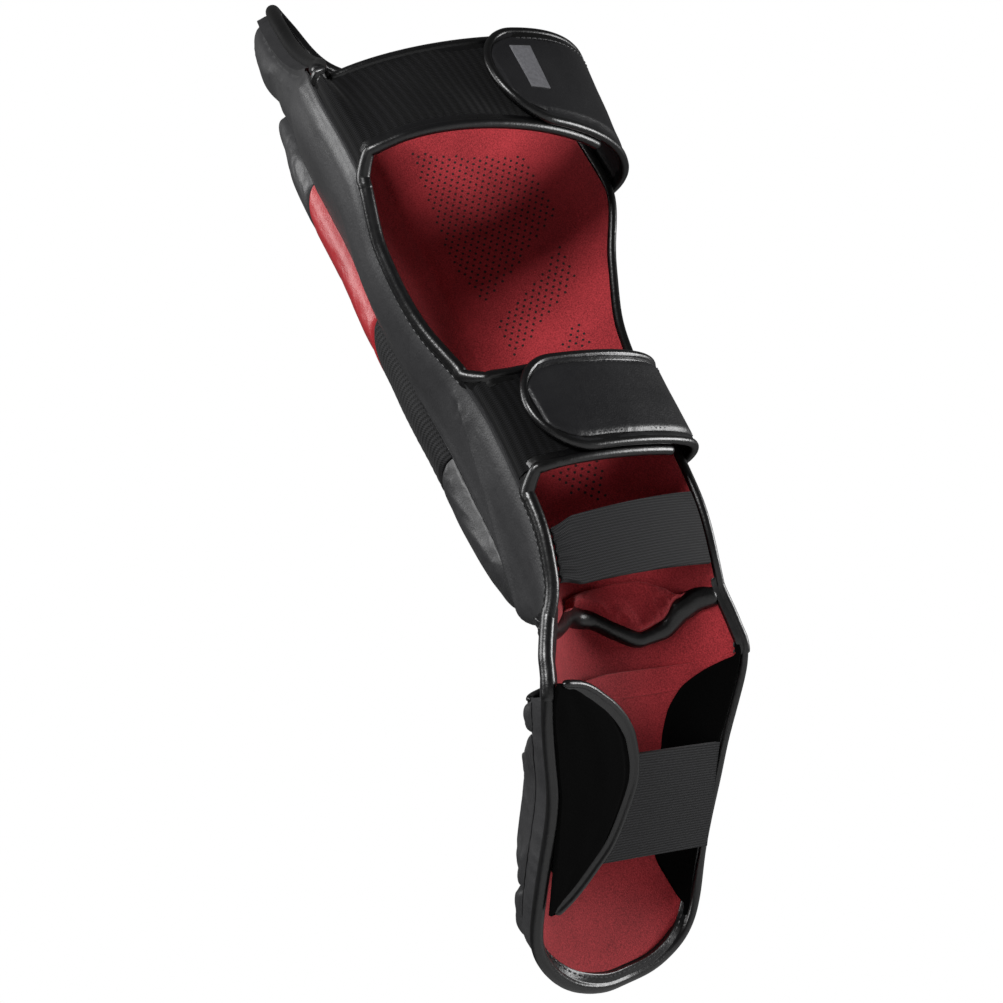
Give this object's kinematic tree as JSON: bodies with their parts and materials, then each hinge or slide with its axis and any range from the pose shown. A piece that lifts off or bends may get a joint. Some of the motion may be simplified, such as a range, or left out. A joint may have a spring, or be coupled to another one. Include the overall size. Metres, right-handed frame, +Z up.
{
  "type": "shin and instep guard",
  "caption": "Left shin and instep guard for kickboxing: padded leather shell with a front bar, elastic and strap closures, hinged foot pad, red lining.",
  "frame": {"origin": "centre of the leg channel at the height of the ankle, about 13 mm below the shell's lowest corners", "axes": "+Z up along the shin to the knee, -Y towards the front of the leg, +Y the open back, +X the outer side of a left leg, where the loop-faced elastics are sewn"},
  "size_m": [0.1702, 0.2036, 0.5332],
  "materials": {
    "black_leather": "smooth coated leather with a fine grain, satin",
    "red_leather": "smooth coated leather with a fine grain, satin",
    "ribbed_textile": "ribbed synthetic, matt",
    "red_lining": "brushed synthetic lining, fine speckle, slight sheen",
    "elastic": "ribbed elastic webbing",
    "hook_tape": "moulded hooks on a woven ground",
    "label": "plain sewn patch",
    "soft_foam": "open-cell comfort foam, inside the shell",
    "impact_foam": "closed-cell impact foam, inside the shell"
  },
  "bodies": {
    "shin_shell": {"shin_liner": "red_lining", "shin_comfort_foam": "soft_foam", "shin_impact_foam": "impact_foam", "shin_outer_cover": "black_leather", "shin_edge_binding": "black_leather", "shin_bottom_hem": "black_leather", "spine_pad_lower": "black_leather", "spine_pad_ribbed": "ribbed_textile", "spine_pad_red": "red_leather", "spine_pad_upper": "black_leather", "upper_strap_tab": "black_leather", "lower_strap_tab": "black_leather", "ankle_elastic_band": "elastic", "ankle_fold_strip": "black_leather"},
    "foot": {"foot_liner": "red_lining", "foot_impact_foam": "impact_foam", "foot_outer_cover": "black_leather", "foot_edge_binding": "black_leather", "foot_top_hem": "black_leather", "instep_pad_ankle": "black_leather", "instep_pad_middle": "black_leather", "instep_pad_toe": "black_leather", "foot_wing_outer_side": "black_leather", "foot_wing_inner_side": "black_leather", "foot_wing_piping": "black_leather", "foot_elastic_strap": "elastic"},
    "upper_strap": {"upper_strap": "black_leather", "upper_strap_hook_tape": "hook_tape", "upper_strap_piping": "black_leather", "strap_label": "label"},
    "upper_elastic": {"upper_elastic_panel": "elastic", "upper_elastic_lower_piping": "black_leather", "upper_elastic_upper_piping": "black_leather"},
    "lower_strap": {"lower_strap": "black_leather", "lower_strap_hook_tape": "hook_tape", "lower_strap_piping": "black_leather"},
    "lower_elastic": {"lower_elastic_panel": "elastic", "lower_elastic_lower_piping": "black_leather", "lower_elastic_upper_piping": "black_leather"}
  },
  "joints": [
    {"name": "ankle_flex", "type": "hinge", "parent": "shin_shell", "child": "foot", "pos_m": [0, -0.042, 0.015], "axis": [1, 0, 0], "range_deg": [-25, 15]},
    {"name": "upper_strap_open", "type": "hinge", "parent": "shin_shell", "child": "upper_strap", "pos_m": [-0.0866, 0.0402, 0.257], "axis": [0, 0, 1], "range_deg": [0, 110]},
    {"name": "upper_elastic_open", "type": "hinge", "parent": "shin_shell", "child": "upper_elastic", "pos_m": [0.079, 0.04, 0.257], "axis": [0, 0, -1], "range_deg": [0, 20]},
    {"name": "lower_strap_open", "type": "hinge", "parent": "shin_shell", "child": "lower_strap", "pos_m": [-0.0596, 0.0202, 0.102], "axis": [0, 0, 1], "range_deg": [0, 110]},
    {"name": "lower_elastic_open", "type": "hinge", "parent": "shin_shell", "child": "lower_elastic", "pos_m": [0.052, 0.02, 0.102], "axis": [0, 0, -1], "range_deg": [0, 20]}
  ],
  "couplings": [
    {"joint": "upper_elastic_open", "follows": "upper_strap_open", "ratio": 0.15},
    {"joint": "lower_elastic_open", "follows": "lower_strap_open", "ratio": 0.15}
  ]
}
